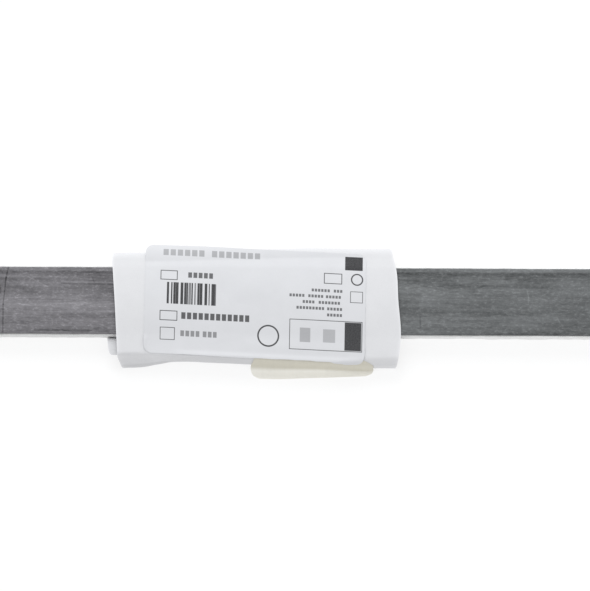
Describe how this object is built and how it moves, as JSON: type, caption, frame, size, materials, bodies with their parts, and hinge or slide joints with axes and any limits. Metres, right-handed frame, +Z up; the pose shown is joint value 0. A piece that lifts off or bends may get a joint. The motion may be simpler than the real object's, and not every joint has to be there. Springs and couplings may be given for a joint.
{
  "type": "finger splint strip with paper sleeve",
  "caption": "Flat band of soft aluminium on a foam pad, metal side up, with a paper sleeve, a plain sticker and a cream tab round its middle.",
  "frame": {"origin": "on the surface that the sleeve rests on, under the middle of the strip", "axes": "+X along the strip, to the right in the picture; +Y across it, up in the picture; +Z up, out of the metal face"},
  "size_m": [0.451, 0.0478, 0.0097],
  "materials": {
    "aluminium": "satin",
    "foam": "matte",
    "white_paper": "matte",
    "label_paper": "satin",
    "cream_paper": "matte"
  },
  "bodies": {
    "root": {"aluminium_strip": "aluminium", "foam_pad": "foam", "paper_sleeve": "white_paper", "label": "label_paper", "closing_tab": "cream_paper"}
  },
  "joints": []
}
